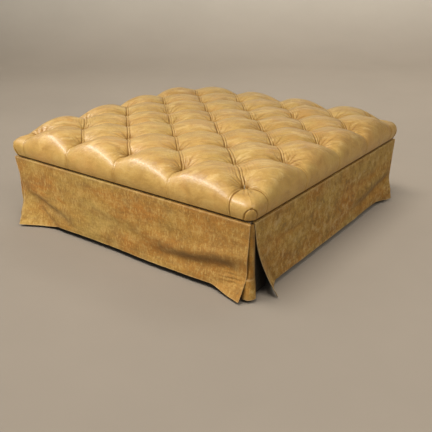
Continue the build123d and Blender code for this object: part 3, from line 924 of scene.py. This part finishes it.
def panel_relief(x, z, depth, seed, kick, slack):
    """How far a panel stands out from the flat, and how dark its creases are painted, as shade in its
    folds and trough.
    """
    kicked, past_kick = curl(x, z, -1, kick)
    slacked = curl(x, z, 1, slack)[0]
    from_low = x + skirt_half
    wave = sum(
        height * noise2(x * over_x + z * aslant_z, z * over_z, size, seed + turn)
        for height, size, turn, over_x, aslant_z, over_z in panel_waves
    )
    wave *= 1 - 0.65 * smoothstep(np.abs(x), skirt_half - 170, skirt_half - 100)
    # A long trough above the curl at the slack end, which lies higher further out
    band = 73 + 50 * smoothstep(x, 280, 640)
    toward_slack = smoothstep(x, -60, 400) * (1 - 0.85 * smoothstep(x, skirt_half - 105, skirt_half - 18))
    trough = toward_slack * (8.5 * hump(z, band + 38, 30) - 11.0 * hump(z, band - 14, 26))
    # Fine wrinkles on that curl
    wrinkle = 1.8 * np.sin((z - 0.22 * x) / 2.5 + 3 * noise2(x, z, 34, seed + 3))
    wrinkle *= hump(x, skirt_half - 75, 55) * hump(z, hem_level + 58, 20)
    # A slanting valley inside a wide kick
    valley_line = z - (hem_level + 150 - 0.34 * from_low)
    valley = 4.0 * hump(valley_line, 34, 22) - 10.0 * hump(valley_line, 0, 17)
    valley *= (1 - smoothstep(from_low, 230, 400)) * smoothstep(from_low, 50, 150)
    valley *= smoothstep(kick["run"], 160, 230)
    out = kicked + slacked + smoothstep(depth, 0.02, 0.5) * (wave + trough + wrinkle + valley)
    out -= 3.0 * hump(past_kick, -4, 9) * smoothstep(depth, 0.45, 0.7)
    # The turned hem, with a groove along its top
    hem, hanging = z - hem_level, depth > 0.5
    out += 0.8 * smoothstep(hem_depth + 1 - hem, 0, 2) - 1.0 * hump(hem, hem_depth, 1.8) * hanging
    # Painted shade: the crease mark darkens the kick's fold, the valley and the trough's downward slope;
    # it also darkens the groove along the hem
    crease = 0.35 * hump(past_kick, -4, 10) * smoothstep(depth, 0.25, 0.6)
    crease = np.maximum(crease, 0.06 * np.clip(-valley, 0, 9))
    crease = np.maximum(crease, 0.72 * toward_slack * hump(z, band + 16, 26) * smoothstep(x, -40, 350))
    return out, np.maximum(crease, 0.25 * hump(hem, hem_depth, 1.6) * hanging)


def skirt_panel(side, turn, seed, kick, slack):
    """One hanging panel, with its turned top edge, curled ends, hem and wrinkles."""
    points, depth, edge = flat_panel(kick, slack)
    x, z = points[..., 0], points[..., 2]
    out, crease = panel_relief(x, z, depth, seed, kick, slack)
    from_kick = x - x.min(axis=1, keepdims=True)
    from_slack = x.max(axis=1, keepdims=True) - x
    cut = 0.75 * np.exp(-from_kick / 1.8) + 0.25 * np.exp(-from_slack / 1.8)
    edge = np.maximum(edge, cut * (depth > 0.02))
    lift = hem_lift * (1 - smoothstep(x, skirt_half - 170, skirt_half - 60))
    lift *= smoothstep(x + skirt_half, kick["run"] - 60, kick["run"] + 40)
    points[..., 2] += lift * depth**1.5
    points[..., 1] -= out
    made = leather_sheet(f"skirt_leather_{side}", turned(points, turn), edge, crease)
    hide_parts(f"skirt_{side}")
    return made


def underlay(corner, turn, seed):
    """The curved piece behind a corner: tacked at the top, with a band sewn on at the foot, and its
    far arm painted nearly black as shade in the gap behind the panel.
    """
    columns, rows = 121, 90
    end = underlay_high[0] - underlay_reach
    straight = underlay_high[0] - underlay_radius
    arm = straight - end
    arc = underlay_radius * math.pi / 2
    total = 2 * arm + arc
    line = np.linspace(0, total, columns)
    angle = np.clip((line - arm) / underlay_radius, 0, np.pi / 2)
    past = np.maximum(line - arm - arc, 0)
    px = end + np.minimum(line, arm) + underlay_radius * np.sin(angle)
    py = straight + underlay_radius * np.cos(angle) - past
    top, bottom = underlay_high[2], underlay_low[2]
    z = np.linspace(top, bottom, rows)[:, None] * np.ones(columns)
    q = np.broadcast_to(line, z.shape)
    down = (top - z) / (top - bottom)
    band_level = bottom + band_height
    below_band = band_level - z
    near = hump(q, total / 2, 30)

    step = band_step * smoothstep(below_band, -1.5, 1.5)
    belly = band_belly * smoothstep(below_band - 6, 0, 62) ** 0.8
    back = 8.0 * smoothstep(np.abs(q - total / 2), 14, 42) * smoothstep(down, 0.04, 0.22)
    wobble = 1.4 * noise2(q, z, 40, seed) * smoothstep(down, 0.05, 0.4)
    pinch = -5.0 * hump(q, total / 2 - 8, 5) * smoothstep(down, 0.02, 0.2)
    pinch = pinch * (1 - smoothstep(below_band + 10, 0, 20))
    out = near * (step + belly + wobble + pinch) - back
    points = np.stack([px + np.sin(angle) * out, -(py + np.cos(angle) * out), z], 2)

    # Painted shade: past the strip the arm is painted nearly black, as the gap behind the panel
    strip_end = total / 2 + strip_half + strip_spread * down
    gap_shade = smoothstep(q, strip_end - 1.5, strip_end + 1.5)
    crease = 0.8 * hump(z, band_level + 2, 2.2) * near
    # Painted shade: the leather darkens just before the strip's end, into the painted gap
    crease = np.maximum(crease, 0.8 * hump(q, strip_end - 9, 6) * smoothstep(down, 0.03, 0.2))
    edge = 0.6 * smoothstep(z, bottom + 4, bottom) + 0.6 * hump(z, band_level - 2, 2.0) * near
    edge = edge * (1 - gap_shade)
    made = leather_sheet(f"underlay_leather_{corner}", turned(points, turn), edge, crease, gap_shade)
    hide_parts(f"underlay_{corner}")
    return made


def dust_cloth():
    """The cloth under the rails, cut away round the legs and sagging between the rails."""
    notch_start = leg_inner - leg_gap
    ticks = np.linspace(-1, 1, 97) * dust_high[0]
    x, y = np.meshgrid(ticks, ticks, indexing="ij")
    inside = np.clip(1 - (np.maximum(np.abs(x), np.abs(y)) / rail_inner) ** 2, 0, 1)
    pucker = 0
    for along, across, number in ((x, y, 31), (y, x, 32)):
        ripple = np.sin(along / 9 + 2 * noise2(x, y, 60, SEED + number))
        pucker = pucker + 0.5 * ripple * smoothstep(np.abs(across), 430, 560)
    sag = cloth_sag * inside**0.8 + 1.2 * noise2(x, y, 150, SEED + 30) * inside + pucker * np.sqrt(inside)
    cut = np.abs((ticks[:-1] + ticks[1:]) / 2) > notch_start
    kept = ~(cut[:, None] & cut[None, :])
    quads = grid_quads(*x.shape)[kept.ravel()][:, [0, 3, 2, 1]]
    count = x.size
    edges = np.concatenate([quads[:, [k, (k + 1) % 4]] for k in range(4)]).tolist()
    known = {tuple(edge) for edge in edges}
    rim = np.array([edge for edge in edges if (edge[1], edge[0]) not in known])
    wall = np.stack([rim[:, 1], rim[:, 0], rim[:, 0] + count, rim[:, 1] + count], 1)
    lower = np.stack([x, y, dust_low[2] - sag], 2).reshape(-1, 3)
    upper = lower + [0, 0, cloth_thickness]
    used = np.unique(np.concatenate([quads, quads + count]))
    renumber = np.zeros(2 * count, int)
    renumber[used] = np.arange(len(used))
    faces = renumber[np.concatenate([quads, quads[:, ::-1] + count, wall])]
    made = make_object("dust_cloth", np.concatenate([lower, upper])[used], faces, DUST_CLOTH)
    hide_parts("dust_cover")
    return made


# The pieces

SIDES = {"front": 0, "right": 90, "back": 180, "left": 270}
CORNERS = {"front_right": 0, "back_right": 90, "back_left": 180, "front_left": 270}

pad = cushion()
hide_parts("top_cover", "foam_pad")

dots = buttons()
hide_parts("buttons")

shown = [pad, dots]
for number, (side, turn) in enumerate(SIDES.items()):
    ends = (wide_kick, near_slack) if side in ("front", "back") else (narrow_kick, far_slack)
    shown.append(skirt_panel(side, turn, SEED + 100 + 10 * number, *ends))
for number, (corner, turn) in enumerate(CORNERS.items()):
    shown.append(underlay(corner, turn, SEED + 200 + 10 * number))
shown.append(dust_cloth())

for piece in shown:
    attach(piece, "root")

FINISHES = {"button_twines": TWINE, "twine_toggles": TOGGLE_WOOD, "deck_board": PLYWOOD, "glides": GLIDE}
for name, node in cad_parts.items():
    finish = FINISHES.get(name, LEG_WOOD if name.startswith("leg_") else FRAME_WOOD)
    node.data.materials.clear()
    node.data.materials.append(finish)


# Stage, light and camera


def paper(low, high):
    """Matt paper, a little lighter up the wall, where the lightening is painted light."""
    n = Nodes("paper")
    mottle = n.noise(900, 4, 0.6)
    # Painted light: the colour lightens with height, up the curve and the wall
    rise = n.ramp(n.math("MULTIPLY", n.axis("Z"), 0.4), (0.0, 0.0), (1.0, 1.0))
    colour = n.mix(rise, low, high)
    shade = n.ramp(mottle, (0.3, 0.93), (0.7, 1.0))
    n.set(Base_Color=n.mix(1.0, colour, shade, "MULTIPLY"), Roughness=0.85)
    n.set(Specular_IOR_Level=0.15)
    return n.material


def sweep():
    """A seamless floor that curves up behind the ottoman, square to the camera."""
    near, far, bend, high, half, steps = -9000.0, 3600.0, 2400.0, 6000.0, 12000.0, 24
    section = [(near, 0.0)]
    for k in range(steps + 1):
        angle = math.pi / 2 * k / steps
        section.append((far + bend * math.sin(angle), bend * (1 - math.cos(angle))))
    section.append((far + bend, high))
    verts = [(side * half, y, z) for y, z in section for side in (-1, 1)]
    faces = [(2 * k, 2 * k + 1, 2 * k + 3, 2 * k + 2) for k in range(len(section) - 1)]
    verts = turned(np.array(verts, float), camera_azimuth)
    finish = paper((0.258, 0.215, 0.166), (0.74, 0.69, 0.585))
    made = make_object("floor_sweep", verts, np.array(faces), finish)
    return made


# Soft boxes: place, target, width, height, watts and colour. Some light everything but the
# paper, some the paper alone, and the gleam shows in sheen only.
LAMPS = {
    "key": ((-3.1, -1.5, 4.9), (0, -0.3, 0.3), 1.4, 1.8, 30, (1.0, 0.97, 0.92)),
    "gleam": ((-2.8, -2.2, 3.5), (0, -0.3, 0.3), 4.2, 0.35, 265, (1.0, 0.98, 0.95)),
    "front": ((-0.9, -2.75, 2.55), (0, -0.2, 0.2), 1.8, 1.5, 122, (1.0, 0.97, 0.93)),
    "side": ((4.6, -1.6, 4.4), (0, 0, 0.2), 3.0, 2.0, 130, (1.0, 0.98, 0.95)),
    "over": ((0.6, -1.0, 2.0), (0.3, -0.7, 0), 1.4, 1.4, 8, (1.0, 0.98, 0.96)),
    "wall": ((0.0, 2.7, 4.8), (-2.2, 5.6, 1.6), 5.0, 1.0, 205, (1.0, 0.98, 0.96)),
    "rear": ((1.8, 2.6, 4.2), (1.6, 4.4, 0.6), 4.0, 1.5, 72, (1.0, 0.98, 0.96)),
    "near": ((-0.3, -1.7, 5.6), (-0.2, -1.3, 0.0), 3.4, 2.2, 345, (1.0, 0.98, 0.95)),
}
OBJECT_LAMPS = ("front", "over")
PAPER_LAMPS = ("wall", "rear", "near")
SHEEN_LAMPS = ("gleam",)
SKY_COLOUR, SKY_STRENGTH = (0.92, 0.96, 1.0, 1), 0.24


def area_light(name, place, target, width, height, watts, colour):
    """A soft box at a place, turned to its target."""
    data = bpy.data.lights.new(name, "AREA")
    data.shape = "RECTANGLE"
    data.size, data.size_y = width, height
    data.energy = watts
    data.color = colour
    lamp = bpy.data.objects.new(name, data)
    lamp.location = place
    lamp.rotation_mode = "QUATERNION"
    lamp.rotation_quaternion = (Vector(target) - Vector(place)).to_track_quat("-Z", "Y")
    bpy.context.scene.collection.objects.link(lamp)
    return lamp


def lighting(floor):
    """The soft boxes, each told what it lights, and a dim sky."""
    lamps = {name: area_light(name, *values) for name, values in LAMPS.items()}
    for names, state in ((PAPER_LAMPS, "INCLUDE"), (OBJECT_LAMPS, "EXCLUDE")):
        group = bpy.data.collections.new("paper_" + state.lower())
        group.objects.link(floor)
        group.collection_objects[0].light_linking.link_state = state
        for name in names:
            lamps[name].light_linking.receiver_collection = group
    for name in SHEEN_LAMPS:
        lamps[name].visible_diffuse = False
    world = bpy.data.worlds.new("studio")
    world.use_nodes = True
    background = world.node_tree.nodes["Background"]
    background.inputs["Color"].default_value = SKY_COLOUR
    background.inputs["Strength"].default_value = SKY_STRENGTH
    bpy.context.scene.world = world


def camera():
    """The photograph's camera, which looks level and along Y before it is turned."""
    data = bpy.data.cameras.new("camera")
    data.lens = camera_lens
    data.sensor_width = 36.0
    data.clip_end = 100.0
    made = bpy.data.objects.new("camera", data)
    bpy.context.scene.collection.objects.link(made)
    made.matrix_world = Matrix.Translation(camera_place)
    for angle, axis in ((camera_azimuth, "Z"), (90 - camera_elevation, "X"), (camera_roll, "Z")):
        made.matrix_world @= Matrix.Rotation(math.radians(angle), 4, axis)
    bpy.context.scene.camera = made


lighting(sweep())
camera()
bpy.context.scene.view_settings.view_transform = "Standard"
bpy.context.view_layer.update()
